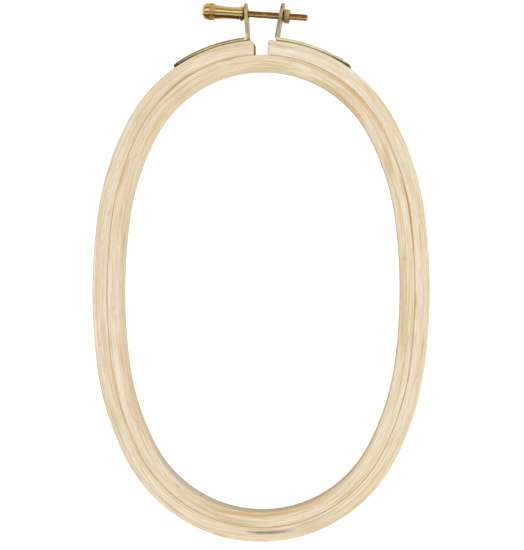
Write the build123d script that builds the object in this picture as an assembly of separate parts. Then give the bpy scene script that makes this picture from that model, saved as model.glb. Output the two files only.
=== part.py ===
from build123d import *
from math import asin, atan2, cos, degrees, pi, radians, sin, tan
import os

# An oval bentwood embroidery hoop lying on its back, in millimetres.
# The origin is the middle of the oval on the plane of the back faces.
# +Z comes out of the front face, +Y points to the clamp screw and +X to the right.

# Working opening, an oval of side, shoulder and end arcs that meet tangent
opening_width = 127.0
opening_length = 201.4
shoulder_radius = 114.1
side_arc_end = 7.5
shoulder_arc_end = 28.0

# Rings, bent from square-edged strips of beech
ring_wall = 6.7
ring_depth = 9.5
ring_gap = 0.25
ring_arris = 0.4

# Split in the outer ring
split_width = 6.4
left_end_round = 1.5
right_end_round = 0.9

# Brackets, each one strip of sheet brass with an upturned ear
sheet = 1.5
strip_width = 9.0
strip_run = 34.6
strip_seat_gap = 0.05
strip_corner = 2.6
bend_radius = 0.8
ear_height = 18.1
ear_corner = 4.2
left_foot_setback = 2.4
right_foot_setback = 3.2
left_ear_lean = 3.5
right_ear_lean = 10.5
hole_below_top = 5.5
sheet_edge_bevel = 0.2

# Pins that hold each strip to the wood
pin_radius = 0.75
pin_length = 7.0
pin_point_length = 1.2
pin_head_radius = 1.6
pin_head_height = 0.6
pin_clearance = 0.03
pin_place_shares = (0.30, 0.82)

# Clamp screw: an M3 rod fixed in a turned knob
rod_radius = 1.5
rod_reach = 29.6
rod_seat = 8.0
rod_seat_clearance = 0.02
rod_end_chamfer = 0.4
screw_play = 0.55
screw_clearance = 0.2

# Turned brass knob
knob_length = 19.1
knob_gap = 0.6
flange_radius = 3.3
flange_width = 1.5
flange_bevel = 0.3
waist_radius = 2.65
waist_place_share = 0.31
waist_start_radius = 2.85
waist_end_radius = 3.4
head_radius = 3.95
head_length = 5.9
head_shoulder = 0.5
cap_length = 3.4
cap_end_radius = 2.2

# Hex nut on the far end of the rod
nut_across_flats = 6.0
nut_thickness = 2.4
nut_gap = 0.8
nut_chamfer = 0.5
thread_clearance = 0.05

# Every cut runs this far past the material
overrun = 2.0

mid_depth = ring_depth / 2
seam_grow = ring_wall + ring_gap
outer_grow = seam_grow + ring_wall


def opening_radii():
    """Side and end radii that close the oval with the given shoulder and arc ends."""
    first, second = radians(side_arc_end), radians(shoulder_arc_end)
    across = opening_width / 2 - shoulder_radius * (cos(first) - cos(second))
    along = opening_length / 2 + shoulder_radius * (sin(first) - sin(second))
    side_x, side_y = 1 - cos(first), sin(first)
    end_x, end_y = cos(second), 1 - sin(second)
    share = side_x * end_y - end_x * side_y
    side = (across * end_y - end_x * along) / share
    end = (side_x * along - side_y * across) / share
    return side, end


side_radius, end_radius = opening_radii()
end_centre_y = opening_length / 2 - end_radius
wood_radius = end_radius + outer_grow
strip_radius = wood_radius + strip_seat_gap


def oval_face(grow):
    """The opening's oval, grown outward by a constant width."""
    side_x = opening_width / 2 - side_radius
    reach = side_radius - shoulder_radius
    shoulder_x = side_x + reach * cos(radians(side_arc_end))
    shoulder_y = reach * sin(radians(side_arc_end))
    shoulder_turn = shoulder_arc_end - side_arc_end
    half = [
        CenterArc((side_x, 0), side_radius + grow, -side_arc_end, 2 * side_arc_end),
        CenterArc((shoulder_x, shoulder_y), shoulder_radius + grow, side_arc_end, shoulder_turn),
        CenterArc((0, end_centre_y), end_radius + grow, shoulder_arc_end, 180 - 2 * shoulder_arc_end),
        CenterArc((-shoulder_x, shoulder_y), shoulder_radius + grow, 180 - shoulder_arc_end, shoulder_turn),
    ]
    return make_face(half + [Rot(0, 0, 180) * arc for arc in half])


def full_ring(inner, outer):
    """A closed square-edged ring between two growths of the oval."""
    return extrude(oval_face(outer) - oval_face(inner), ring_depth)


def split_tool():
    """The block that opens the split and rounds the outer corners of its two ends."""
    half = split_width / 2
    seam_y = end_centre_y + end_radius + seam_grow
    low = seam_y - ring_gap - overrun
    high = end_centre_y + wood_radius + overrun
    slot = Pos(0, (low + high) / 2) * Rectangle(split_width, high - low)
    tool = slot
    for side, corner in ((-1, left_end_round), (1, right_end_round)):
        centre_x = side * (half + corner)
        reach = wood_radius - corner
        centre_y = end_centre_y + (reach**2 - centre_x**2) ** 0.5
        top = centre_y + corner + overrun
        block = Pos(side * (half + corner / 2), (centre_y + top) / 2) * Rectangle(corner, top - centre_y)
        tool += block - Pos(centre_x, centre_y) * Circle(corner)
    return Pos(0, 0, -overrun) * extrude(tool, ring_depth + 2 * overrun)


def radial_plane(turn, radius):
    """A plane at mid depth on the split end's arc, facing outward, turned clockwise from +Y."""
    out = (sin(radians(turn)), cos(radians(turn)), 0)
    centre = Vector(0, end_centre_y, mid_depth) + Vector(*out) * radius
    return Plane(origin=centre, x_dir=(0, 0, 1), z_dir=out)


def foot_turn(setback):
    """Angle from +Y at which a strip starts to bend up into its ear."""
    bend_reach = bend_radius + sheet
    return degrees(asin((split_width / 2 + setback + bend_reach) / (strip_radius + bend_reach)))


def strip_end_turn(setback):
    """Angle from +Y at which a strip ends."""
    return foot_turn(setback) + degrees(strip_run / strip_radius)


def pin_turns(setback):
    """Angles from +Y of the pins in one strip."""
    start = foot_turn(setback)
    return [start + degrees(strip_run / strip_radius) * share for share in pin_place_shares]


def ear_axes(lean):
    """Directions up the ear and through it, away from the split, for the right-hand bracket."""
    up = Vector(sin(radians(lean)), cos(radians(lean)), 0)
    through = Vector(cos(radians(lean)), -sin(radians(lean)), 0)
    return up, through


def ear_top(lean, setback):
    """Middle of the ear's top edge, for the right-hand bracket."""
    up, through = ear_axes(lean)
    turn = radians(foot_turn(setback))
    reach = strip_radius + sheet + bend_radius
    bend = Vector(reach * sin(turn), end_centre_y + reach * cos(turn), mid_depth)
    straight = ear_height - bend_radius - sheet
    return bend - through * (bend_radius + sheet / 2) + up * straight


def ear_hole(lean, setback):
    """Middle of the screw hole, for the right-hand bracket."""
    up, _ = ear_axes(lean)
    return ear_top(lean, setback) - up * hole_below_top


def bracket_profile(lean, setback):
    """Edge-on outline of the right-hand bracket: strip on the wood, bend and ear."""
    start, stop = foot_turn(setback), strip_end_turn(setback)
    centre = (0, end_centre_y)
    under = CenterArc(centre, strip_radius, 90 - stop, stop - start)
    over = CenterArc(centre, strip_radius + sheet, 90 - stop, stop - start)
    reach = strip_radius + sheet + bend_radius
    bend = (reach * sin(radians(start)), end_centre_y + reach * cos(radians(start)))
    bend_turn = 90 - start + lean
    outside = CenterArc(bend, bend_radius + sheet, 180 - lean, bend_turn)
    inside = CenterArc(bend, bend_radius, 180 - lean, bend_turn)
    up, _ = ear_axes(lean)
    rise = up * (ear_height - bend_radius - sheet)
    outer_face = Line(outside @ 0, outside @ 0 + rise)
    inner_face = Line(inside @ 0, inside @ 0 + rise)
    top = Line(outer_face @ 1, inner_face @ 1)
    tip = Line(under @ 0, over @ 0)
    return make_face([under, outside, outer_face, top, inner_face, inside, over, tip])


def bracket(side, lean, setback):
    """A brass bracket on the right (side 1) or on the left (side -1) of the split."""
    blank = extrude(Plane.XY.offset(mid_depth) * bracket_profile(lean, setback), strip_width / 2, both=True)
    _, through = ear_axes(lean)
    blank = fillet(blank.edges().filter_by(Axis((0, 0, 0), through)), ear_corner)
    tip_out = radial_plane(strip_end_turn(setback), strip_radius).z_dir
    blank = fillet(blank.edges().filter_by(Axis((0, 0, 0), tip_out)), strip_corner)
    hole_plane = Plane(origin=ear_hole(lean, setback), z_dir=through)
    hole_radius = rod_radius + screw_play + screw_clearance
    blank -= hole_plane * Cylinder(hole_radius, sheet + 2 * overrun)
    for turn in pin_turns(setback):
        blank -= radial_plane(turn, strip_radius) * Cylinder(pin_radius + pin_clearance, 2 * (sheet + overrun))
    rims = [face.outer_wire().edges() for face in blank.faces().filter_by(Plane.XY)]
    blank = chamfer([edge for rim in rims for edge in rim], sheet_edge_bevel)
    return blank if side > 0 else mirror(blank, Plane.YZ)


def pin_profile():
    """Half section of a pin: X is its radius, and the head's underside is at Y = 0."""
    outline = Polyline(
        (0, pin_head_height),
        (pin_head_radius, pin_head_height),
        (pin_head_radius, 0),
        (pin_radius, 0),
        (pin_radius, pin_point_length - pin_length),
        (0, -pin_length),
        close=True,
    )
    return make_face(outline)


def pins(side, setback):
    """The pins of one strip, as separate solids."""
    solids = []
    for turn in pin_turns(setback):
        seat = radial_plane(side * turn, strip_radius + sheet)
        upright = revolve(Plane.XZ * pin_profile(), Axis.Z)
        solids.append(seat * upright)
    return Compound(children=[Part(solid.wrapped) for solid in solids])


def pin_holes(side, setback):
    """Holes for the pins in the wood of the outer ring."""
    holes = Part()
    for turn in pin_turns(setback):
        seat = radial_plane(side * turn, strip_radius + sheet)
        depth = pin_length + pin_clearance
        holes += seat * Pos(0, 0, -depth / 2) * Cylinder(pin_radius + pin_clearance, depth)
    return holes


def screw_line():
    """Points where the screw's axis meets the middles of the left and right ears."""
    left = ear_hole(left_ear_lean, left_foot_setback)
    right = ear_hole(right_ear_lean, right_foot_setback)
    left_up, _ = ear_axes(left_ear_lean)
    right_up, _ = ear_axes(right_ear_lean)
    high = Vector(-left.X, left.Y, left.Z) + Vector(-left_up.X, left_up.Y, 0) * screw_play
    low = right - right_up * screw_play
    return high, low


screw_start, screw_pass = screw_line()
screw_along = (screw_pass - screw_start).normalized()
ear_spacing = (screw_pass - screw_start).length
knob_face = -(sheet / 2 + knob_gap)
nut_face = ear_spacing + sheet / 2 + nut_gap


def on_screw(place):
    """A plane across the screw's axis, at a distance from the left ear, facing the rod's end."""
    return Plane(origin=screw_start + screw_along * place, x_dir=(0, 0, 1), z_dir=screw_along)


def outer_ring():
    """The split ring, with its outer edges eased and holes for the pins."""
    ring = full_ring(seam_grow, outer_grow)
    rims = [flat.outer_wire().edges() for flat in ring.faces().filter_by(Plane.XY)]
    ring = chamfer([edge for rim in rims for edge in rim], ring_arris)
    ring -= split_tool()
    ring -= pin_holes(1, right_foot_setback)
    ring -= pin_holes(-1, left_foot_setback)
    return ring


def inner_ring():
    """The closed ring, with its inner edges eased."""
    ring = full_ring(0, ring_wall)
    rims = [flat.inner_wires()[0].edges() for flat in ring.faces().filter_by(Plane.XY)]
    return chamfer([edge for rim in rims for edge in rim], ring_arris)


def clamp_rod():
    """Plain blank of the threaded rod, from its seat in the knob to its chamfered end."""
    length = rod_reach + rod_seat
    rod = Cylinder(rod_radius, length, align=(Align.CENTER, Align.CENTER, Align.MIN))
    rod = chamfer(rod.edges().sort_by(Axis.Z)[-1], rod_end_chamfer)
    return on_screw(knob_face - rod_seat) * rod


def knob_profile():
    """Half section of the knob: X is its radius, and Y runs from the flange to the cap."""
    head_start = knob_length - head_length
    cap_start = knob_length - cap_length
    waist_y = flange_width + (head_start - flange_width) * waist_place_share
    waist = ThreePointArc(
        (waist_start_radius, flange_width), (waist_radius, waist_y), (waist_end_radius, head_start)
    )
    shoulder = Line((waist_end_radius, head_start), (head_radius, head_start + head_shoulder))
    band = Line((head_radius, head_start + head_shoulder), (head_radius, cap_start))
    cap = TangentArc((head_radius, cap_start), (cap_end_radius, knob_length), tangent=(0, 1))
    flange = Polyline(
        (0, 0),
        (flange_radius - flange_bevel, 0),
        (flange_radius, flange_bevel),
        (flange_radius, flange_width - flange_bevel),
        (flange_radius - flange_bevel, flange_width),
        (waist_start_radius, flange_width),
    )
    end = Polyline((cap_end_radius, knob_length), (0, knob_length), (0, 0))
    return make_face(flange.edges() + [waist, shoulder, band, cap] + end.edges())


def knob():
    turned = revolve(Plane.XZ * knob_profile(), Axis.Z)
    seat_radius = rod_radius + rod_seat_clearance
    seat_depth = rod_seat + rod_seat_clearance
    bore = Pos(0, 0, seat_depth / 2 - overrun / 2) * Cylinder(seat_radius, seat_depth + overrun)
    face = on_screw(knob_face)
    outward = Plane(origin=face.origin, x_dir=face.x_dir, z_dir=-face.z_dir)
    return outward * (turned - bore)


def hex_nut():
    corner = nut_across_flats / 2 / cos(pi / 6)
    prism = extrude(RegularPolygon(corner, 6), nut_thickness)
    bevel = Cylinder(corner, nut_thickness, align=(Align.CENTER, Align.CENTER, Align.MIN))
    bevel = chamfer(bevel.edges().filter_by(GeomType.CIRCLE), nut_chamfer * tan(pi / 6), nut_chamfer)
    nut = prism & bevel
    nut -= Pos(0, 0, nut_thickness / 2) * Cylinder(rod_radius + thread_clearance, nut_thickness + overrun)
    return on_screw(nut_face) * nut


nodes = {
    "outer_ring": outer_ring(),
    "inner_ring": inner_ring(),
    "left_bracket": bracket(-1, left_ear_lean, left_foot_setback),
    "right_bracket": bracket(1, right_ear_lean, right_foot_setback),
    "left_bracket_pins": pins(-1, left_foot_setback),
    "right_bracket_pins": pins(1, right_foot_setback),
    "clamp_rod": clamp_rod(),
    "screw_knob": knob(),
    "hex_nut": hex_nut(),
}

os.makedirs("parts", exist_ok=True)
for name, shape in nodes.items():
    export_step(shape, f"parts/{name}.step")

tilt = degrees(atan2(-screw_along.Y, screw_along.X))
nut_travel = knob_face + rod_reach - nut_face - nut_thickness
print(f"oval radii at the opening: side {side_radius:.2f}, end {end_radius:.2f}")
print(f"screw axis starts at {tuple(screw_start)} and runs along {tuple(screw_along)}")
print(f"the screw falls {tilt:.2f} degrees to the right")
print(f"nut travel to the rod's end: {nut_travel:.2f}")
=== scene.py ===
import math

import bmesh
import bpy
import numpy as np
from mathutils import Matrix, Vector


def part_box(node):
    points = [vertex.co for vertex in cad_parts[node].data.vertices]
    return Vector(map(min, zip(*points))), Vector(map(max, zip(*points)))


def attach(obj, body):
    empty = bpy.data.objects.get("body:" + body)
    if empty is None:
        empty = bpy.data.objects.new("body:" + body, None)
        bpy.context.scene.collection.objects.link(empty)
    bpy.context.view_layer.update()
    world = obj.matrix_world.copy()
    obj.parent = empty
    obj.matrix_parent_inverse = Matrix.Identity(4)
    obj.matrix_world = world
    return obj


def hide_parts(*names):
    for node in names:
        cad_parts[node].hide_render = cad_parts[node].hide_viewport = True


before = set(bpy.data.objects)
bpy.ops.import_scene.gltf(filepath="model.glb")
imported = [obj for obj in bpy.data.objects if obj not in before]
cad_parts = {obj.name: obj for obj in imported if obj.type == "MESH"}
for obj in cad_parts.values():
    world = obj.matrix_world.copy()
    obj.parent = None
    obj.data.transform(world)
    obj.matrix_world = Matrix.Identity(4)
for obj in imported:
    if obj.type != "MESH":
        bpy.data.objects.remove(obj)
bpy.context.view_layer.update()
scene = bpy.context.scene

# Lengths are in millimetres, as in the part's source, and this takes them to metres
MM = 0.001

# The opening's oval and the two rings round it
OPENING_WIDTH = 127.0
OPENING_LENGTH = 201.4
SHOULDER_RADIUS = 114.1
SIDE_ARC_END = 7.5
SHOULDER_ARC_END = 28.0
RING_WALL = 6.7
RING_GAP = 0.25
RING_DEPTH = 9.5
MID_DEPTH = RING_DEPTH / 2
SEAM_GROW = RING_WALL + RING_GAP
OUTER_GROW = SEAM_GROW + RING_WALL
MID_GROW = RING_WALL + RING_GAP / 2
SPLIT_HALF = 3.2
LEFT_END_ROUND = 1.5
RIGHT_END_ROUND = 0.9

# The clamp screw's axis, as the part's source works it out from the two ears, and the places
# along it, counted from the left ear's middle
SCREW_START = Vector((-7.01526772, 127.18647843, MID_DEPTH))
SCREW_ALONG = Vector((0.99742242, -0.07175320, 0.0))
EAR_SHEET = 1.5
KNOB_GAP = 0.6
KNOB_FACE = -(EAR_SHEET / 2 + KNOB_GAP)
ROD_SEAT = 8.0
ROD_REACH = 29.6
ROD_RADIUS = 1.5
THREAD_PITCH = 0.5
NUT_THICKNESS = 2.4
NUT_ACROSS_FLATS = 6.0

# The nut is drawn this much thicker than the CAD's, towards the right ear
NUT_THICKENING = 0.25


# Shader arithmetic


class Value:
    """A number carried by a shader socket, used in plain arithmetic."""

    def __init__(self, finish, socket):
        self.finish = finish
        self.socket = socket

    def __add__(self, other):
        return self.finish.math("ADD", self, other)

    def __sub__(self, other):
        return self.finish.math("SUBTRACT", self, other)

    def __rsub__(self, other):
        return self.finish.math("SUBTRACT", other, self)

    def __mul__(self, other):
        return self.finish.math("MULTIPLY", self, other)

    __radd__ = __add__


class Finish:
    """A material built from nodes."""

    def __init__(self, name):
        self.material = bpy.data.materials.new(name)
        self.material.use_nodes = True
        self.tree = self.material.node_tree
        self.tree.nodes.clear()

    def node(self, kind, settings=None, sockets=None, out=0):
        """Adds a node: its settings come first, then the values or links of its sockets."""
        node = self.tree.nodes.new("ShaderNode" + kind)
        for key, value in (settings or {}).items():
            setattr(node, key, value)
        for key, value in (sockets or {}).items():
            if isinstance(value, Value):
                self.tree.links.new(value.socket, node.inputs[key])
            else:
                node.inputs[key].default_value = value
        return Value(self, node.outputs[out])

    def math(self, operation, *values):
        """One step of arithmetic on values or plain numbers."""
        return self.node("Math", {"operation": operation}, dict(enumerate(values)))

    def smooth(self, value, low, high):
        """0 below low, 1 above high, and a smooth rise between."""
        settings = {"interpolation_type": "SMOOTHSTEP"}
        return self.node("MapRange", settings, {"Value": value, "From Min": low, "From Max": high})

    def blend(self, share, first, second):
        """Mixes two colours: the first where share is 0, the second where it is 1."""
        settings = {"data_type": "RGBA", "clamp_factor": True}
        return self.node("Mix", settings, {0: share, 6: first, 7: second}, out=2)

    def split(self, vector):
        """The three parts of a vector."""
        parts = self.node("SeparateXYZ", None, {0: vector})
        return [Value(self, parts.socket.node.outputs[i]) for i in range(3)]

    def attribute(self, name):
        """The three numbers that the mesh carries under this name."""
        return self.split(self.node("Attribute", {"attribute_name": name}, out="Vector"))

    def surface(self, sockets):
        """Puts a principled shader with these sockets on the material's output."""
        shader = self.node("BsdfPrincipled", None, sockets)
        self.node_output(shader)
        return self.material

    def node_output(self, shader):
        """Puts any shader on the material's output."""
        output = self.tree.nodes.new("ShaderNodeOutputMaterial")
        self.tree.links.new(shader.socket, output.inputs["Surface"])


def tint(red, green, blue):
    """A colour as painters' 0 to 255 values, made linear for the shaders."""
    linear = []
    for level in (red, green, blue):
        share = level / 255
        linear.append(share / 12.92 if share <= 0.04045 else ((share + 0.055) / 1.055) ** 2.4)
    return (*linear, 1.0)


# Mesh helpers


def grid_faces(rows, columns, close_rows=False):
    """Quads over a grid of points whose columns close on themselves, and whose rows can."""
    faces = []
    for row in range(rows if close_rows else rows - 1):
        here, there = row * columns, ((row + 1) % rows) * columns
        for column in range(columns):
            after = (column + 1) % columns
            faces.append((here + column, here + after, there + after, there + column))
    return faces


def make_piece(name, points, faces, finish, body, replaced, attributes):
    """A mesh piece, given in millimetres, that rides on a body and stands for CAD nodes."""
    mesh = bpy.data.meshes.new(name)
    mesh.from_pydata((np.asarray(points, float) * MM).tolist(), [], faces)
    for key, values in attributes.items():
        layer = mesh.attributes.new(key, "FLOAT_VECTOR", "POINT")
        layer.data.foreach_set("vector", np.asarray(values, np.float32).ravel())
    shape = bmesh.new()
    shape.from_mesh(mesh)
    bmesh.ops.recalc_face_normals(shape, faces=shape.faces)
    shape.to_mesh(mesh)
    shape.free()
    mesh.shade_smooth()
    mesh.materials.append(finish)
    piece = bpy.data.objects.new(name, mesh)
    scene.collection.objects.link(piece)
    piece.modifiers.new("even_shading", "WEIGHTED_NORMAL").keep_sharp = True
    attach(piece, body)
    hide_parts(*replaced)


# Rings


def oval_arcs():
    """The opening's arcs, clockwise from the top: centre, radius, first and last angle."""
    first, second = math.radians(SIDE_ARC_END), math.radians(SHOULDER_ARC_END)
    across = OPENING_WIDTH / 2 - SHOULDER_RADIUS * (math.cos(first) - math.cos(second))
    along = OPENING_LENGTH / 2 + SHOULDER_RADIUS * (math.sin(first) - math.sin(second))
    matrix = [[1 - math.cos(first), math.cos(second)], [math.sin(first), 1 - math.sin(second)]]
    side, end = np.linalg.solve(matrix, [across, along])
    reach = side - SHOULDER_RADIUS
    side_x = OPENING_WIDTH / 2 - side
    shoulder_x = side_x + reach * math.cos(first)
    shoulder_y = reach * math.sin(first)
    end_y = OPENING_LENGTH / 2 - end
    near, far = SIDE_ARC_END, SHOULDER_ARC_END
    return [
        (0, end_y, end, 90, far),
        (shoulder_x, shoulder_y, SHOULDER_RADIUS, far, near),
        (side_x, 0, side, near, -near),
        (shoulder_x, -shoulder_y, SHOULDER_RADIUS, -near, -far),
        (0, -end_y, end, -far, far - 180),
        (-shoulder_x, -shoulder_y, SHOULDER_RADIUS, far - 180, near - 180),
        (-side_x, 0, side, near - 180, -180 - near),
        (-shoulder_x, shoulder_y, SHOULDER_RADIUS, -180 - near, -180 - far),
        (0, end_y, end, -180 - far, -270),
    ]


ARCS = oval_arcs()
END_CENTRE_Y = ARCS[0][1]
END_RADIUS = ARCS[0][2]
WOOD_RADIUS = END_RADIUS + OUTER_GROW
RING_LENGTH = sum((arc[2] + MID_GROW) * math.radians(arc[3] - arc[4]) for arc in ARCS)
STATION_STEP = 0.9


def sweep(grows, depths, start_turns, end_turns):
    """Rows of points that carry a section round the oval, clockwise.

    Each rail of the section starts start_turns degrees after the top and ends end_turns before it.
    Returns the points and, for each, its running length at the middle of the wood.
    """
    rows, runs = [], []
    run = 0.0
    last_arc = len(ARCS) - 1
    for index, (centre_x, centre_y, radius, first, last) in enumerate(ARCS):
        steps = max(2, round((radius + MID_GROW) * math.radians(first - last) / STATION_STEP))
        head = first - start_turns * (index == 0)
        tail = last + end_turns * (index == last_arc)
        for step in range(steps + (index == last_arc)):
            angle = np.radians(head + (tail - head) * step / steps)
            reach = radius + grows
            x = centre_x + reach * np.cos(angle)
            y = centre_y + reach * np.sin(angle)
            rows.append(np.stack([x, y, depths], 1))
            runs.append(run + (radius + MID_GROW) * (math.radians(first) - angle))
        run += (radius + MID_GROW) * math.radians(first - last)
    return rows, runs


# Shares of the way at which a section of the wood has points, up a wall and across the front face
WALL_SHARES = (0.06, 0.3, 0.55, 0.78, 0.93, 0.98)
FACE_SHARES = np.linspace(0.02, 0.98, 14)
EDGE_TURNS = np.linspace(0, math.pi / 2, 6)
SMALLEST_ROUND = 0.02


def ring_section(low, high, low_round, high_round, inset=0.0):
    """Points (grow, depth) round a strip of wood with rounded edges, all of it inset by some amount.

    The loop is symmetric about mid depth: point i mirrors point -1 - i.
    """
    low, high, top = low + inset, high - inset, RING_DEPTH - inset
    low_round = max(low_round - inset, SMALLEST_ROUND)
    high_round = max(high_round - inset, SMALLEST_ROUND)
    reach = top - MID_DEPTH
    half = [(low, MID_DEPTH + (reach - low_round) * share) for share in WALL_SHARES]
    for turn in EDGE_TURNS:
        grow = low + low_round - low_round * math.cos(turn)
        half.append((grow, top - low_round + low_round * math.sin(turn)))
    spread = high - high_round - low - low_round
    half += [(low + low_round + spread * share, top) for share in FACE_SHARES]
    for turn in EDGE_TURNS:
        grow = high - high_round + high_round * math.sin(turn)
        half.append((grow, top - high_round + high_round * math.cos(turn)))
    half += [(high, MID_DEPTH + (reach - high_round) * share) for share in reversed(WALL_SHARES)]
    loop = np.array(half + [(grow, RING_DEPTH - depth) for grow, depth in reversed(half)])
    return loop[:, 0], loop[:, 1]


def end_turn(grows, corner, retreat):
    """Degrees from the top at which each rail meets an end of the split ring.

    The end's outer corner is rounded, and the rails stop short of it by retreat.
    """
    reach = END_RADIUS + grows
    centre_x = SPLIT_HALF + corner
    centre_reach = WOOD_RADIUS - corner
    centre_rise = math.sqrt(centre_reach**2 - centre_x**2)
    flat = np.arcsin(SPLIT_HALF / reach)
    spread = (reach**2 + centre_reach**2 - corner**2) / (2 * reach * centre_reach)
    rounded = math.asin(centre_x / centre_reach) - np.arccos(np.clip(spread, -1, 1))
    turn = np.where(reach > math.hypot(SPLIT_HALF, centre_rise), rounded, flat)
    return np.degrees(turn + retreat / reach)


# The wood's rounded edges along the seam, along the rims and at the two ends, and how far and how
# evenly the seam's walls swell
SEAM_ROUND = 0.12
RIM_ROUND = 0.5
END_ROUND = 0.3
END_STEPS = 4
SEAM_BULGE = 0.12
SEAM_FLATNESS = 24
ON_WALL = 0.001


def crown(grows, depths, side_grow, bulge):
    """Swells a seam wall by bulge below its rounded edges, so that no light passes through the seam."""
    share = 1 - ((depths - MID_DEPTH) / MID_DEPTH) ** SEAM_FLATNESS
    return np.where(np.abs(grows - side_grow) < ON_WALL, grows + bulge * share, grows)


# Marks in the front face's grain: first and last run clockwise from the top, place across the
# wood at each, half width, strength
OUTER_STREAKS = (
    (5, 13, 10.9, 10.9, 0.4, 0.8),
    (45, 57, 11.7, 11.3, 0.45, 0.9),
    (112, 130, 10.2, 10.1, 0.5, 0.6),
    (142, 157, 7.3, 7.2, 0.6, 0.9),
    (162, 176, 11.8, 11.3, 0.4, 0.7),
    (176, 192, 11.0, 9.0, 0.35, 0.5),
    (256, 275, 11.9, 11.0, 0.9, 0.5),
    (300, 309, 12.9, 12.9, 0.45, 1.1),
    (320, 336, 11.5, 11.4, 0.4, 0.7),
    (406, 423, 9.8, 9.6, 0.45, 0.6),
    (478, 494, 12.9, 12.7, 0.4, 0.5),
    (540, 572, 12.4, 12.8, 0.7, 0.4),
    (92, 127, 7.0, 7.0, 0.3, 1.3),
    (525, 548, 7.0, 7.0, 0.3, 1.3),
    (250, 352, 10.2, 10.2, 3.2, 0.22),
)
OUTER_STAINS = (
    (272, 296, 9.8, 8.8, 0.7, 1.2),
    (256, 278, 8.6, 9.2, 0.6, 0.2),
    (465, 472, 8.9, 7.6, 0.22, 0.35),
)
INNER_STREAKS = (
    (-8, 22, 1.5, 2.6, 1.6, 0.5),
    (18, 58, 3.4, 3.5, 0.3, 0.9),
    (22, 66, 1.3, 1.0, 0.75, 1.1),
    (28, 72, 6.1, 5.9, 0.7, 0.9),
    (72, 94, 4.6, 2.0, 1.5, 0.6),
    (90, 120, 2.3, 2.1, 0.5, 0.4),
    (153, 178, 2.2, 2.0, 0.8, 0.5),
    (228, 254, 5.7, 5.6, 0.5, 1.0),
    (236, 334, 0.8, 2.1, 0.75, 1.1),
    (286, 311, 6.0, 5.6, 0.8, 0.7),
    (350, 384, 3.1, 1.4, 0.45, 0.8),
    (369, 384, 6.5, 6.5, 0.35, 0.9),
    (394, 416, 2.0, 1.8, 0.5, 0.6),
    (475, 498, 6.1, 5.9, 0.5, 1.1),
    (494, 524, 1.2, 1.7, 0.7, 0.6),
    (523, 545, 4.5, 4.1, 0.6, 0.7),
    (536, 586, 4.6, 3.6, 1.3, 0.35),
    (92, 127, 6.65, 6.65, 0.3, 1.3),
    (525, 548, 6.65, 6.65, 0.3, 1.3),
    (38, 108, 3.4, 3.0, 3.0, 0.25),
    (248, 356, 3.2, 3.2, 3.2, 0.28),
)
INNER_STAINS = (
    (128, 130.5, 2.3, 2.3, 0.2, 0.9),
    (330, 336, 2.3, 2.2, 0.3, 0.45),
    (308, 311, 5.0, 5.0, 0.3, 0.4),
    (560, 566, 6.3, 6.3, 0.25, 0.7),
    (450, 462, 0.4, 0.2, 0.35, 0.4),
)


# How deep below the front face marks reach and over what depth they fade, how thin they are at
# their ends, and how far and how often they waver across the wood
MARK_REACH = 1.6
MARK_FADE = 1.4
MARK_TAPER = 0.7
THIN_SHARE = 0.35
WAVER = 0.12
WAVER_LENGTH = 3.1


def marked(runs, grows, depths, marks):
    """How strongly each point of the front face is marked, with soft edges and tapering ends."""
    total = np.zeros_like(runs)
    near_front = np.clip((depths - RING_DEPTH + MARK_REACH) / MARK_FADE, 0, 1)
    for first, last, first_grow, last_grow, half_width, strength in marks:
        length = last - first
        share = ((runs - first) % RING_LENGTH) / length
        inside = share <= 1
        taper = np.sin(math.pi * np.clip(share, 0, 1)) ** MARK_TAPER
        waver = WAVER * np.sin(share * length / WAVER_LENGTH + first)
        place = first_grow + (last_grow - first_grow) * share + waver
        spread = half_width * (THIN_SHARE + (1 - THIN_SHARE) * taper)
        total += inside * strength * taper * np.exp(-(((grows - place) / spread) ** 2))
    return total * near_front


def wood_attributes(runs, grows, depths, ends, streaks, stains_and_painted_shade):
    """Where each point lies along and across the wood, how near an end's edge it is, and its marks."""
    turn = 2 * math.pi * runs / RING_LENGTH
    streaked = marked(runs, grows, depths, streaks)
    stained = marked(runs, grows, depths, stains_and_painted_shade)
    empty = np.zeros_like(runs)
    return {
        "along": np.stack([np.cos(turn), np.sin(turn), empty], 1),
        "cross": np.stack([grows, depths, ends], 1),
        "marks": np.stack([streaked, stained, empty], 1),
    }


def inner_ring(finish):
    """The closed inner ring."""
    grows, depths = ring_section(0, RING_WALL, RIM_ROUND, SEAM_ROUND)
    grows = crown(grows, depths, RING_WALL, SEAM_BULGE)
    rows, runs = sweep(grows, depths, np.zeros_like(grows), np.zeros_like(grows))
    rows, runs = rows[:-1], runs[:-1]
    points = np.concatenate(rows)
    count = len(rows)
    attributes = wood_attributes(
        np.concatenate(runs),
        np.tile(grows, count),
        np.tile(depths, count),
        np.zeros(len(points)),
        INNER_STREAKS,
        INNER_STAINS,
    )
    faces = grid_faces(count, len(grows), close_rows=True)
    make_piece(
        "inner_ring_wood", points, faces, finish, "inner_hoop", ["inner_ring"], attributes
    )


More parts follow.
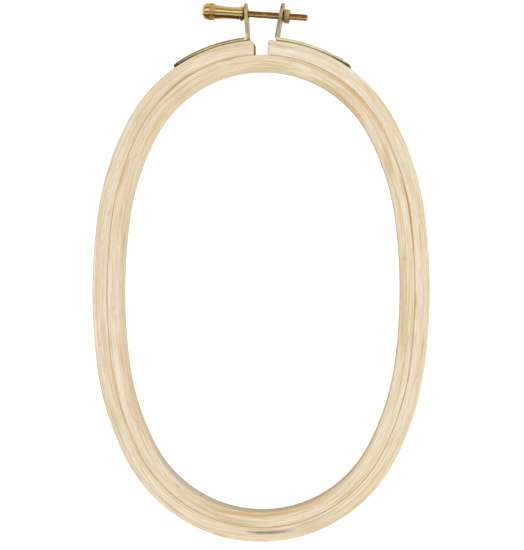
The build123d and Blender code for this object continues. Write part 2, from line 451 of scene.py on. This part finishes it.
def outer_ring(finish):
    """The outer ring, split at the top, with rounded edges and corners at its two ends."""
    grows, depths = ring_section(SEAM_GROW, OUTER_GROW, SEAM_ROUND, RIM_ROUND)
    crowned = crown(grows, depths, SEAM_GROW, -SEAM_BULGE)
    start = end_turn(crowned, RIGHT_END_ROUND, END_ROUND)
    stop = end_turn(crowned, LEFT_END_ROUND, END_ROUND)
    rows, runs = sweep(crowned, depths, start, stop)
    sections = [(crowned, depths, 0.0)] * len(rows)
    for corner, side in ((RIGHT_END_ROUND, 1), (LEFT_END_ROUND, -1)):
        for step in range(1, END_STEPS + 1):
            turn = step / END_STEPS * math.pi / 2
            inset = END_ROUND * (1 - math.cos(turn))
            retreat = END_ROUND * (1 - math.sin(turn))
            grow, depth = ring_section(SEAM_GROW, OUTER_GROW, SEAM_ROUND, RIM_ROUND, inset)
            away = np.radians(end_turn(grow, corner, retreat))
            reach = END_RADIUS + grow
            row = np.stack([side * reach * np.sin(away), END_CENTRE_Y + reach * np.cos(away), depth], 1)
            from_top = (END_RADIUS + MID_GROW) * away
            run = from_top if side > 0 else RING_LENGTH - from_top
            place = 0 if side > 0 else len(rows)
            rows.insert(place, row)
            runs.insert(place, run)
            sections.insert(place, (grow, depth, inset / END_ROUND))
    columns = len(grows)
    points = np.concatenate(rows)
    faces = grid_faces(len(rows), columns)
    for base in (0, (len(rows) - 1) * columns):
        for index in range(columns // 2 - 1):
            mirror, after = columns - 1 - index, columns - 2 - index
            faces.append((base + index, base + index + 1, base + after, base + mirror))
    attributes = wood_attributes(
        np.concatenate(runs),
        np.concatenate([section[0] for section in sections]),
        np.concatenate([section[1] for section in sections]),
        np.repeat([section[2] for section in sections], columns),
        OUTER_STREAKS,
        OUTER_STAINS,
    )
    make_piece(
        "outer_ring_wood", points, faces, finish, "outer_hoop", ["outer_ring"], attributes
    )


# Turned and threaded pieces


def on_axis(place, outward=1):
    """A function that takes points (x, y, height) on the screw's axis to the frame.

    Height 0 lies at place along the axis and counts along it, or against it where outward is -1.
    """
    axis = SCREW_ALONG * outward
    side = Vector((0, 0, 1))
    across = axis.cross(side)
    basis = np.array([side, across, axis])
    origin = np.array(SCREW_START + SCREW_ALONG * place)
    return lambda local: local @ basis + origin


def turned(profile, segments, place, ripple):
    """Points, faces and attributes of a solid turned from (radius, height) pairs, closed on its axis.

    The ripple says how deep the surface is cut at each angle and height.
    """
    angles = np.linspace(0, 2 * math.pi, segments, endpoint=False)
    rings = []
    for radius, height in profile:
        reach = radius - ripple(angles, height)
        rings.append(np.stack([reach * np.cos(angles), reach * np.sin(angles), np.full(segments, height)], 1))
    local = np.concatenate(rings + [np.array([[0, 0, profile[0][1]], [0, 0, profile[-1][1]]])])
    faces = grid_faces(len(profile), segments)
    first_tip, last_tip = len(local) - 2, len(local) - 1
    last_row = (len(profile) - 1) * segments
    for column in range(segments):
        after = (column + 1) % segments
        faces.append((first_tip, after, column))
        faces.append((last_tip, last_row + column, last_row + after))
    return place(local), faces, {"turning": local}


def arc_points(centre, radius, first, last, count):
    """Points on an arc, in degrees, as (radius, height) pairs."""
    angles = np.radians(np.linspace(first, last, count))
    return [(centre[0] + radius * math.cos(a), centre[1] + radius * math.sin(a)) for a in angles]


# The knob, whose heights count from its flange's face to the cap. Shapes are (radius, height)
# pairs, and the heights of the flange's foot, the groove and the tip count from where each starts.
KNOB_LENGTH = 18.9
FLANGE_RADIUS = 3.3
FLANGE_WIDTH = 1.5
FLANGE_ROUND = 0.35
FLANGE_FOOT = ((3.0, 0.01), (2.92, 0.03))
# The boss fills the gap by the left ear, where it is painted dark as the shade there
BOSS_RADIUS = 2.4
BOSS_FACE = -0.45
BOSS_BEVEL = 0.1
WAIST_HEIGHTS = (1.5, 2.5, 4.0, 5.4, 7.0, 8.6, 10.4, 11.8, 13.2)
WAIST_RADII = (2.88, 2.80, 2.75, 2.72, 2.74, 2.82, 2.98, 3.16, 3.38)
WAIST_END = 13.1
SHOULDER = ((3.42, 13.25), (3.5, 13.3), (3.62, 13.36), (3.84, 13.5), (3.92, 13.58))
HEAD_RADIUS = 3.95
BAND_START = 13.7
BAND_END = 15.6
CAP_GROOVE = ((3.85, 0.06), (3.82, 0.16))
CAP_START = BAND_END + 0.24
CAP_STEP = 0.02
CAP_TAPER = 0.35
CAP_ROUNDING = 1.4
CAP_TIP = ((2.0, 0.02), (1.2, 0.03))
KNURL_TEETH = 26
KNURL_DEPTH = 0.24
KNURL_FADE = 0.12
POINTS_PER_TOOTH = 12


def knurl(angles, height):
    """How deep the crossed knurl of the knob's head is cut at each angle."""
    if not BAND_START < height < BAND_END:
        return 0
    fade = min(1.0, (height - BAND_START) / KNURL_FADE, (BAND_END - height) / KNURL_FADE)
    lead = (height - BAND_START) * KNURL_TEETH / HEAD_RADIUS
    first = np.abs(np.sin((KNURL_TEETH * angles + lead) / 2))
    second = np.abs(np.sin((KNURL_TEETH * angles - lead) / 2))
    return KNURL_DEPTH * fade * (1 - np.minimum(first, second))


def knob(finish):
    """The turned knob, from its flange by the left ear to its rounded cap."""
    bore = ROD_RADIUS + 0.05
    profile = [
        (bore, BOSS_FACE),
        (BOSS_RADIUS - BOSS_BEVEL, BOSS_FACE),
        (BOSS_RADIUS, BOSS_FACE + BOSS_BEVEL),
        (BOSS_RADIUS, 0.0),
        (FLANGE_RADIUS - 0.4, 0.0),
    ]
    edge = FLANGE_RADIUS - FLANGE_ROUND
    profile += arc_points((edge, FLANGE_ROUND), FLANGE_ROUND, -90, 0, 7)
    profile += arc_points((edge, FLANGE_WIDTH - FLANGE_ROUND), FLANGE_ROUND, 0, 90, 7)
    profile += [(radius, FLANGE_WIDTH + height) for radius, height in FLANGE_FOOT]
    heights = np.linspace(FLANGE_WIDTH + 0.1, WAIST_END, 34)
    waist = np.interp(heights, WAIST_HEIGHTS, WAIST_RADII)
    smooth = np.convolve(np.pad(waist, 2, mode="edge"), np.ones(5) / 5, mode="valid")
    profile += list(zip(smooth, heights))
    profile += [*SHOULDER, (HEAD_RADIUS, BAND_START)]
    profile += [(HEAD_RADIUS, height) for height in np.linspace(BAND_START, BAND_END, 37)[1:-1]]
    profile.append((HEAD_RADIUS, BAND_END))
    profile += [(radius, BAND_END + height) for radius, height in CAP_GROOVE]
    for share in np.linspace(0, 1, 25) ** 0.7:
        radius = HEAD_RADIUS - CAP_STEP - CAP_TAPER * share - CAP_ROUNDING * share**5
        profile.append((radius, CAP_START + (KNOB_LENGTH - CAP_START) * share))
    profile += [(radius, KNOB_LENGTH + height) for radius, height in CAP_TIP]
    points, faces, attributes = turned(profile, KNURL_TEETH * POINTS_PER_TOOTH, on_axis(KNOB_FACE, -1), knurl)
    make_piece(
        "knob_turned", points, faces, finish, "clamp_screw", ["screw_knob"], attributes
    )


# The rod: its thinner part inside the knob, its thread and its bevelled end
SEAT_PLAY = 0.1
THREAD_DEPTH = 0.12
THREAD_STEEPNESS = 2.4
THREAD_FLAT = 1.3
ROWS_PER_PITCH = 8
ROD_SEGMENTS = 48
ROD_BEVEL_REACH = 0.55
ROD_BEVEL_SLOPE = 0.9


def rod(finish):
    """The rod with its rolled M3 thread, from the seat in the knob to its bevelled end."""
    heights = np.arange(0.0, ROD_REACH + 1e-6, THREAD_PITCH / ROWS_PER_PITCH)
    profile = [(ROD_RADIUS - SEAT_PLAY, -ROD_SEAT), (ROD_RADIUS - SEAT_PLAY, -0.01)]
    profile += [(ROD_RADIUS, height) for height in heights]

    def thread(angles, height):
        """How deep the thread's groove and the end's bevel are cut at each angle."""
        if height < 0:
            return 0
        turn = height / THREAD_PITCH - angles / (2 * math.pi)
        ramp = np.abs((turn % 1.0) * 2 - 1)
        groove = THREAD_DEPTH * np.clip(THREAD_STEEPNESS * ramp - THREAD_FLAT, 0, 1)
        bevel = max(0.0, height - (ROD_REACH - ROD_BEVEL_REACH)) * ROD_BEVEL_SLOPE
        return np.maximum(groove, bevel)

    points, faces, attributes = turned(profile, ROD_SEGMENTS, on_axis(KNOB_FACE), thread)
    make_piece(
        "rod_threaded", points, faces, finish, "clamp_screw", ["clamp_rod"], attributes
    )


# The nut's washer face, on the side of the right ear, and its bevelled corners
WASHER_RADIUS = 2.5
WASHER_FACE = -0.25
WASHER_BEVEL = 0.1
NUT_SEGMENTS = 144
NUT_BEVEL_DEGREES = 30
NUT_BEVEL_SHARE = 0.97
NUT_CORNER_CUT = 0.09


def nut(finish, place):
    """The hex nut, with a washer face and the scalloped bevels that turning leaves on its two sides."""
    angles = np.linspace(0, 2 * math.pi, NUT_SEGMENTS, endpoint=False)
    flat = NUT_ACROSS_FLATS / 2
    bevel_start = flat * NUT_BEVEL_SHARE
    fold = angles % (math.pi / 3) - math.pi / 6
    side = flat / np.cos(fold)
    side = np.minimum(side, flat / math.cos(math.pi / 6) - NUT_CORNER_CUT)
    drop = (side - bevel_start) * math.tan(math.radians(NUT_BEVEL_DEGREES))
    bore = ROD_RADIUS + 0.03
    thick = NUT_THICKNESS + NUT_THICKENING
    rings = [
        (bore, WASHER_FACE),
        (WASHER_RADIUS - WASHER_BEVEL, WASHER_FACE),
        (WASHER_RADIUS, WASHER_FACE + WASHER_BEVEL),
        (WASHER_RADIUS, 0.0),
        (bevel_start - 0.15, 0.0),
        (bevel_start, 0.01),
        (side - 0.06, drop - 0.03),
        (side, drop + 0.05),
        (side, thick / 2),
        (side, thick - drop - 0.05),
        (side - 0.06, thick - drop + 0.03),
        (bevel_start, thick - 0.01),
        (bevel_start - 0.15, thick),
        (bore + 0.3, thick),
        (bore, thick - 0.3),
    ]
    rows = []
    for radius, height in rings:
        heights = height * np.ones(NUT_SEGMENTS)
        rows.append(np.stack([radius * np.cos(angles), radius * np.sin(angles), heights], 1))
    local = np.concatenate(rows)
    faces = grid_faces(len(rings), NUT_SEGMENTS, close_rows=True)
    make_piece(
        "nut_hex", on_axis(place)(local), faces, finish, "nut", ["hex_nut"], {"turning": local}
    )


# Finishes


def wood(name, seed):
    """Pale bentwood whose grain runs along the ring, with darker streaks and a few stains.

    The wood is darker by the seam and by the opening's rim, has painted shade down the opening's wall,
    and its end faces are painted brown for end grain and for the shade in the split.
    """
    paint = Finish(name)
    turn_x, turn_y, _ = paint.attribute("along")
    grow, depth, end = paint.attribute("cross")
    streaks, stains_and_painted_shade, _ = paint.attribute("marks")

    def figure(length, width, detail, offset):
        """Noise drawn out along the wood to about this length and width in millimetres."""
        reach = RING_LENGTH / (2 * math.pi * length)
        across = grow * (1 / width) + offset
        vector = paint.node("CombineXYZ", None, {0: turn_x * reach, 1: turn_y * reach, 2: across})
        sockets = {"Vector": vector, "W": depth * (1 / width) + offset, "Scale": 1.0, "Detail": detail}
        return paint.node("TexNoise", {"noise_dimensions": "4D"}, sockets)

    drift = figure(50, 5.0, 1.0, seed)
    bands = figure(36, 1.2, 2.0, seed + 7.3)
    lines = figure(28, 0.42, 3.0, seed + 19.1)
    fibre = figure(11, 0.2, 3.0, seed + 13.1)
    speck = figure(3.4, 0.3, 2.0, seed + 31.7)
    colour = paint.blend(paint.smooth(drift, 0.3, 0.7), tint(249, 240, 217), tint(241, 226, 196))
    for noise, low, high, strength, shade in (
        (bands, 0.48, 0.72, 0.7, tint(222, 194, 147)),
        (lines, 0.5, 0.72, 0.7, tint(214, 180, 134)),
        (fibre, 0.44, 0.66, 0.5, tint(206, 176, 132)),
        (speck, 0.54, 0.7, 0.5, tint(202, 168, 122)),
    ):
        colour = paint.blend(paint.smooth(noise, low, high) * strength, colour, shade)
    seam = 1 - paint.smooth(paint.math("ABSOLUTE", grow - MID_GROW), 0.2, 0.7)
    colour = paint.blend(seam * 0.5, colour, tint(224, 194, 150))
    rim = (1 - paint.smooth(grow, 0.3, 2.0)) * paint.smooth(depth, 7.5, 9.2)
    colour = paint.blend(rim * (bands * 0.7 + 0.05), colour, tint(224, 190, 138))
    # Painted shade: the opening's wall is painted greyer and darker, as the shade that falls there
    wall = (1 - paint.smooth(grow, 0.1, 0.5)) * (1 - paint.smooth(depth, 8.9, 9.3))
    colour = paint.blend(wall * 0.35, colour, tint(214, 200, 170))
    colour = paint.blend(streaks * (fibre * 1.1 + 0.3) * 0.95, colour, tint(213, 175, 112))
    colour = paint.blend(stains_and_painted_shade * (speck * 1.6 + fibre * 0.8 - 0.2), colour, tint(150, 138, 120))
    # The end faces are painted brown, partly for their end grain and partly as painted shade in the narrow
    # split
    colour = paint.blend(end * 0.75, colour, tint(150, 118, 76))
    height = fibre * 0.7 + lines * 0.5
    normal = paint.node("Bump", None, {"Height": height, "Strength": 0.25, "Distance": 0.00008})
    sockets = {"Base Color": colour, "Roughness": fibre * 0.15 + 0.5, "Normal": normal}
    return paint.surface({**sockets, "IOR": 1.45, "Specular IOR Level": 0.3})


# A bracket is strip below the first of these heights and ear above the second, in metres along +Y
EAR_START = (0.1152, 0.1159)


def brass(name, bright, dull, gloss, strip=None, rim=0.0, bend_highlight=None):
    """Brass with a little tarnish and fine scratches.

    With a strip colour it is a bracket's: the strip along the wood has that colour, has painted shade
    where it meets the wood and, as strong as rim, along its outer edge, and the ear is painted paler
    towards +X as painted light. The bend's place, where the strip turns up, gets a painted highlight.
    """
    paint = Finish(name)
    place = paint.node("TexCoord", None, None, out="Object")
    patches = paint.node("TexNoise", None, {"Vector": place, "Scale": 260.0, "Detail": 4.0})
    grit = paint.node("TexNoise", None, {"Vector": place, "Scale": 1900.0, "Detail": 3.0})
    colour = paint.blend(paint.smooth(patches, 0.4, 0.68), bright, dull)
    if strip:
        side, up, _ = paint.split(place)
        low = 1 - paint.smooth(up, *EAR_START)
        colour = paint.blend(low * (1.1 - paint.smooth(patches, 0.45, 0.75) * 0.5), colour, strip)
        # Painted shade in the gap under the strip, wider towards its ends, where the real strip lifts off the
        # wood
        reach = up - END_CENTRE_Y * MM
        rise = paint.math("SQRT", side * side + reach * reach) - WOOD_RADIUS * MM
        far = paint.smooth(paint.math("ABSOLUTE", side), 0.024, 0.041)
        gap_shade = 1 - paint.smooth(rise - far * 0.0005, 0.0003, 0.0006)
        colour = paint.blend(low * gap_shade * (0.55 + far * 0.4), colour, tint(112, 80, 42))
        # Painted shade along the strip's outer edge, as strong as rim
        colour = paint.blend(low * paint.smooth(rise, 0.0007, 0.0011) * rim, colour, tint(116, 94, 50))
        # Painted light: the ear's faces turned towards +X are painted paler, as lit faces
        facing, _, _ = paint.split(paint.node("TexCoord", None, None, out="Normal"))
        colour = paint.blend((1 - low) * paint.smooth(facing, 0.4, 0.9) * 0.8, colour, tint(246, 222, 182))
        # Painted highlight on the bend where the strip turns up
        if bend_highlight:
            aside, above = side - bend_highlight[0], up - bend_highlight[1]
            distance = paint.math("SQRT", aside * aside + above * above)
            bend_glint = 1 - paint.smooth(distance, 0.0003, 0.0011)
            colour = paint.blend(bend_glint * 0.85, colour, tint(255, 236, 196))
    roughness = paint.smooth(patches, 0.3, 0.8) * 0.12 + grit * 0.08 + gloss
    normal = paint.node("Bump", None, {"Height": grit, "Strength": 0.12, "Distance": 0.00005})
    return paint.surface({"Base Color": colour, "Metallic": 1.0, "Roughness": roughness, "Normal": normal})


def turned_brass(name, bright, dull, gloss, down=1, stains_and_painted_shade=(), rough_band=None, grime=0.0):
    """Turned brass with fine rings round its axis, some tarnish, and bands of painted shade.

    Each band of painted shade lies between two distances from the axis, counted towards the wood where
    down is 1 for a piece that faces along the screw and -1 for one that faces against it. With grime the
    piece has dark smudges along it. Without, whatever lies below height 0, a boss or a washer face, is
    painted dark as the shade in the gap beside an ear.
    The rough band lies between two heights.
    """
    paint = Finish(name)
    side, across, height = paint.attribute("turning")
    rings = paint.node("TexNoise", {"noise_dimensions": "1D"}, {"W": height, "Scale": 6.0, "Detail": 4.0})
    vector = paint.node("CombineXYZ", None, {0: side, 1: across, 2: height})
    patches = paint.node("TexNoise", None, {"Vector": vector, "Scale": 0.45, "Detail": 4.0})
    colour = paint.blend(paint.smooth(patches, 0.4, 0.7), bright, dull)
    roughness = paint.smooth(patches, 0.3, 0.8) * 0.06 + rings * 0.05 + gloss
    reach = across * down
    # Painted shade: each band darkens one flank of the piece, where shade and dark reflections fall
    for low, high, strength, band_shade in stains_and_painted_shade:
        band = paint.smooth(reach, low, low + 0.35) * (1 - paint.smooth(reach, high - 0.3, high))
        colour = paint.blend(band * (paint.smooth(patches, 0.2, 0.5) * 0.3 + 0.7) * strength, colour, band_shade)
    if grime:
        sockets = {"W": height, "Scale": 0.9, "Detail": 2.0}
        smudge = paint.node("TexNoise", {"noise_dimensions": "1D"}, sockets)
        colour = paint.blend(paint.smooth(smudge, 0.42, 0.62) * grime, colour, tint(104, 58, 22))
    else:
        # Painted shade: the boss and the washer face, in the gaps beside the ears, are painted near black
        colour = paint.blend(1 - paint.smooth(height, -0.1, 0.02), colour, tint(48, 32, 16))
    if rough_band:
        low, high = rough_band
        band = paint.smooth(height, low, low + 0.2) * (1 - paint.smooth(height, high - 0.2, high))
        roughness = roughness + band * 0.2
    normal = paint.node("Bump", None, {"Height": rings, "Strength": 0.1, "Distance": 0.00004})
    return paint.surface({"Base Color": colour, "Metallic": 1.0, "Roughness": roughness, "Normal": normal})


outer_wood = wood("outer_wood_finish", 0.0)
inner_wood = wood("inner_wood_finish", 41.0)
# The two brackets are one brass painted as lit and shaded copies: the left ear is painted paler than the
# right, the right strip is painted as a bright highlight, and the left strip gets the stronger painted shade
# along its outer edge
left_brass = brass(
    "left_bracket_finish",
    bright=tint(226, 198, 150),
    dull=tint(192, 166, 122),
    gloss=0.26,
    strip=tint(232, 204, 140),
    rim=0.85,
    bend_highlight=(-0.0069, 0.1149),
)
right_brass = brass(
    "right_bracket_finish",
    bright=tint(186, 163, 122),
    dull=tint(160, 139, 101),
    gloss=0.28,
    strip=tint(252, 230, 172),
    rim=0.15,
)
pin_brass = brass("pin_brass_finish", bright=tint(222, 202, 148), dull=tint(188, 168, 118), gloss=0.25)

# Bands of painted shade on turned pieces: first and last distance from the axis, strength and colour
# The rod's two flanks get painted shade, which leaves a bright painted highlight along its middle
rod_brass = turned_brass(
    "rod_brass_finish",
    bright=tint(255, 208, 128),
    dull=tint(255, 186, 104),
    gloss=0.08,
    stains_and_painted_shade=((-9, 0.38, 0.9, tint(132, 72, 24)), (1.0, 9, 0.85, tint(128, 64, 22))),
    grime=0.3,
)
# The knob's flank towards the wood gets a painted orange-brown reflection of the shaded wood
knob_brass = turned_brass(
    "knob_brass_finish",
    bright=tint(234, 200, 128),
    dull=tint(224, 184, 108),
    gloss=0.08,
    down=-1,
    stains_and_painted_shade=((1.5, 2.75, 0.8, tint(190, 104, 36)),),
    rough_band=(BAND_START, BAND_END),
)
# The nut's lower side, towards the wood, gets painted shade
nut_brass = turned_brass(
    "nut_brass_finish",
    bright=tint(230, 191, 126),
    dull=tint(208, 171, 108),
    gloss=0.2,
    stains_and_painted_shade=((0.1, 9, 0.65, tint(192, 134, 76)),),
)

# Pieces

inner_ring(inner_wood)
outer_ring(outer_wood)
knob(knob_brass)
rod(rod_brass)
nut_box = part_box("hex_nut")
nut_middle = (Vector(nut_box[0]) + Vector(nut_box[1])) / 2 / MM
nut_place = (nut_middle - SCREW_START).dot(SCREW_ALONG) - NUT_THICKNESS / 2
nut(nut_brass, nut_place - NUT_THICKENING)

for node, finish in (
    ("left_bracket", left_brass),
    ("right_bracket", right_brass),
    ("left_bracket_pins", pin_brass),
    ("right_bracket_pins", pin_brass),
):
    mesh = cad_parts[node].data
    mesh.materials.clear()
    mesh.materials.append(finish)

# Floor, lights and surroundings


def flat_mesh(name, points, faces):
    """A mesh of the stage, given in metres."""
    mesh = bpy.data.meshes.new(name)
    mesh.from_pydata(points, [], faces)
    plate = bpy.data.objects.new(name, mesh)
    scene.collection.objects.link(plate)
    return plate


# The floor, in metres, and how much it glows to the camera and to reflections
FLOOR_HALF = 2.0
FLOOR_HEIGHT = -0.00002
FLOOR_GLOW = 0.76
FLOOR_MIRRORED_GLOW = 0.1


def floor():
    """A pale floor that the camera sees as white and that still takes the object's shadow."""
    signs = ((-1, -1), (1, -1), (1, 1), (-1, 1))
    corners = [(x * FLOOR_HALF, y * FLOOR_HALF, FLOOR_HEIGHT) for x, y in signs]
    plate = flat_mesh("floor", corners, [(0, 1, 2, 3)])
    paint = Finish("floor_finish")
    seen = paint.node("LightPath").socket.node.outputs
    shown = Value(paint, seen["Is Camera Ray"]) + Value(paint, seen["Is Transmission Ray"])
    shown = shown * FLOOR_GLOW + Value(paint, seen["Is Glossy Ray"]) * FLOOR_MIRRORED_GLOW
    cloth = paint.node("BsdfDiffuse", None, {"Color": (0.8, 0.8, 0.8, 1)})
    glow = paint.node("Emission", None, {"Color": (1, 1, 1, 1), "Strength": shown})
    paint.node_output(paint.node("AddShader", None, {0: cloth, 1: glow}))
    plate.data.materials.append(paint.material)


# What polished brass mirrors: first and last tilt from straight up, in degrees towards +Y, and
# light. The reach and half length are in metres.
REFLECTORS = (
    (-95, -75, (0.15, 0.11, 0.06)),
    (-75, -60, (0.12, 0.16, 0.17)),
    (-60, -46, (0.26, 0.48, 0.68)),
    (-46, -32, (0.85, 1.00, 1.50)),
    (-32, -18, (0.58, 0.46, 0.48)),
    (-18, -5, (0.10, 0.11, 0.06)),
    (-5, 8, (0.50, 0.76, 0.86)),
    (8, 23, (1.30, 1.55, 1.70)),
    (23, 37, (0.75, 0.52, 0.38)),
    (37, 52, (0.32, 0.26, 0.18)),
    (52, 68, (0.42, 0.50, 0.48)),
    (68, 95, (0.66, 0.78, 0.95)),
)
REFLECTOR_REACH = 0.6
REFLECTOR_HALF_LENGTH = 2.4


def reflectors():
    """A half pipe of light and dark cards over the clamp screw, which only reflections see."""
    points, faces, levels = [], [], []
    for first, last, level in REFLECTORS:
        base = len(points)
        for tilt in (first, last):
            turn = math.radians(tilt)
            y = SCREW_START.y * MM + REFLECTOR_REACH * math.sin(turn)
            z = REFLECTOR_REACH * math.cos(turn)
            points += [(-REFLECTOR_HALF_LENGTH, y, z), (REFLECTOR_HALF_LENGTH, y, z)]
        faces.append((base, base + 1, base + 3, base + 2))
        levels.append((*level, 1.0))
    cards = flat_mesh("reflectors", points, faces)
    layer = cards.data.attributes.new("level", "FLOAT_COLOR", "FACE")
    layer.data.foreach_set("color", np.asarray(levels, np.float32).ravel())
    paint = Finish("reflector_finish")
    shade = paint.node("Attribute", {"attribute_name": "level"}, out="Color")
    paint.node_output(paint.node("Emission", None, {"Color": shade, "Strength": 1.0}))
    cards.data.materials.append(paint.material)
    cards.visible_camera = False
    cards.visible_diffuse = False
    cards.visible_transmission = False
    cards.visible_shadow = False


def lamp(name, place, aim, size, power):
    """A rectangular lamp that neither the camera nor reflections see."""
    data = bpy.data.lights.new(name, "AREA")
    data.shape = "RECTANGLE"
    data.size, data.size_y = size
    data.energy = power
    light = bpy.data.objects.new(name, data)
    light.location = place
    light.rotation_mode = "QUATERNION"
    light.rotation_quaternion = (Vector(aim) - Vector(place)).to_track_quat("-Z", "Y")
    light.visible_camera = False
    light.visible_glossy = False
    scene.collection.objects.link(light)


def surroundings(fill, shown):
    """A world of one strength for light and another for what the camera and reflections see."""
    world = bpy.data.worlds.new("studio")
    scene.world = world
    world.use_nodes = True
    nodes, links = world.node_tree.nodes, world.node_tree.links
    nodes.clear()
    path = nodes.new("ShaderNodeLightPath")
    either = nodes.new("ShaderNodeMath")
    either.operation = "MAXIMUM"
    pick = nodes.new("ShaderNodeMixShader")
    links.new(path.outputs["Is Camera Ray"], either.inputs[0])
    links.new(path.outputs["Is Glossy Ray"], either.inputs[1])
    links.new(either.outputs[0], pick.inputs[0])
    for socket, strength in ((1, fill), (2, shown)):
        shade = nodes.new("ShaderNodeBackground")
        shade.inputs["Color"].default_value = (1, 1, 1, 1)
        shade.inputs["Strength"].default_value = strength
        links.new(shade.outputs[0], pick.inputs[socket])
    links.new(pick.outputs[0], nodes.new("ShaderNodeOutputWorld").inputs[0])


floor()
reflectors()
lamp("key", place=(1.7, -1.7, 3.1), aim=(0, 0, 0), size=(4.0, 3.2), power=94)
surroundings(fill=0.58, shown=1.0)

# Camera: place and sensor in millimetres, turns in degrees, focal length and frame in pixels

CAMERA_PLACE = (54.0, 3.2, 589.5)
CAMERA_TURNS = (0.388, 3.136, 0.187)
FOCAL_PIXELS = 1279.4
FRAME_PIXELS = 550
SENSOR = 36.0
CAMERA_SHIFT = (-0.085, 0.00045)

camera_data = bpy.data.cameras.new("camera")
camera_data.sensor_width = SENSOR
camera_data.lens = FOCAL_PIXELS * SENSOR / FRAME_PIXELS
camera_data.shift_x, camera_data.shift_y = CAMERA_SHIFT
camera_data.clip_start, camera_data.clip_end = 0.01, 20.0
camera = bpy.data.objects.new("camera", camera_data)
camera.rotation_mode = "ZXY"
camera.location = Vector(CAMERA_PLACE) * MM
camera.rotation_euler = [math.radians(turn) for turn in CAMERA_TURNS]
scene.collection.objects.link(camera)
scene.camera = camera
scene.view_settings.view_transform = "Standard"
